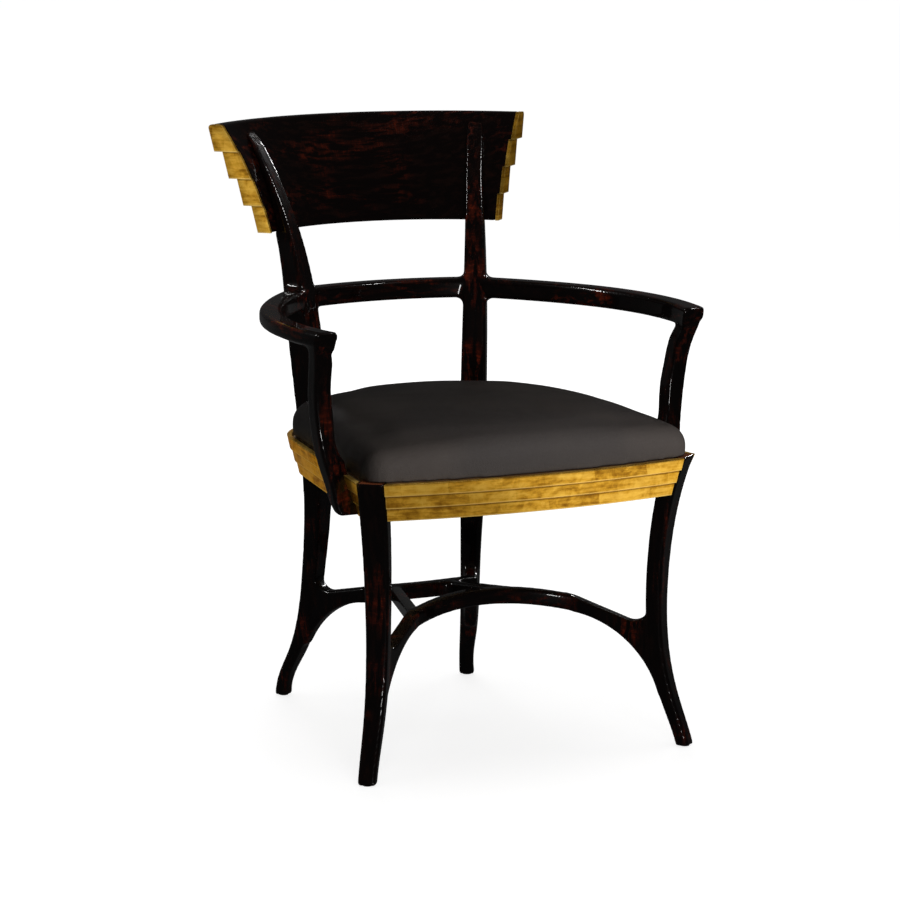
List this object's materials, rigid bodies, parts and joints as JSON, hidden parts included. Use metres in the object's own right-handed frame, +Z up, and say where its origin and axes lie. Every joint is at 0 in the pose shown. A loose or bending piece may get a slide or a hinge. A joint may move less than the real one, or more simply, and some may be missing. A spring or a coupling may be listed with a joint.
{
  "type": "dining armchair",
  "caption": "Dining armchair with splayed forked legs, an arched stretcher ring, a curved arm hoop, a stepped fan-shaped back panel and a padded seat over a stepped gilded apron.",
  "frame": {"origin": "centre of the bounding box in plan, on the floor under the foot glides", "axes": "+X to the right seen from the front, -Y to the front, +Z up; X = 0 is the plane of symmetry"},
  "size_m": [0.6466, 0.72, 0.9],
  "materials": {
    "lacquered_wood": "dark high-gloss lacquer over red-brown figured wood",
    "gold_leaf": "wood gilded with burnished gold leaf",
    "seat_leather": "charcoal leather with a soft sheen",
    "frame_wood": "plain hardwood, unfinished",
    "plywood": "plywood, unfinished",
    "foam": "upholstery foam",
    "steel": "plain steel screws",
    "nylon": "black nylon"
  },
  "bodies": {
    "root": {"front_leg_left": "lacquered_wood", "front_leg_right": "lacquered_wood", "rear_stile_left": "lacquered_wood", "rear_stile_right": "lacquered_wood", "front_stretcher": "lacquered_wood", "rear_stretcher": "lacquered_wood", "side_stretcher_left": "lacquered_wood", "side_stretcher_right": "lacquered_wood", "back_panel": "lacquered_wood", "back_rail": "lacquered_wood", "arm_left": "lacquered_wood", "arm_right": "lacquered_wood", "arm_post_left": "lacquered_wood", "arm_post_right": "lacquered_wood", "gilded_panel_end_left": "gold_leaf", "gilded_panel_end_right": "gold_leaf", "apron_front": "gold_leaf", "apron_side_front_left": "gold_leaf", "apron_side_front_right": "gold_leaf", "apron_side_rear_left": "gold_leaf", "apron_side_rear_right": "gold_leaf", "apron_back": "gold_leaf", "seat_rail_front": "frame_wood", "seat_rail_back": "frame_wood", "seat_rail_side_left": "frame_wood", "seat_rail_side_right": "frame_wood", "corner_blocks": "frame_wood", "stretcher_dowels": "frame_wood", "seat_rail_dowels": "frame_wood", "arm_dowels": "frame_wood", "seat_board": "plywood", "seat_foam": "foam", "seat_cover": "seat_leather", "corner_block_bolts": "steel", "seat_screws": "steel", "arm_post_screws": "steel", "panel_screws": "steel", "foot_glides": "nylon"}
  },
  "joints": []
}
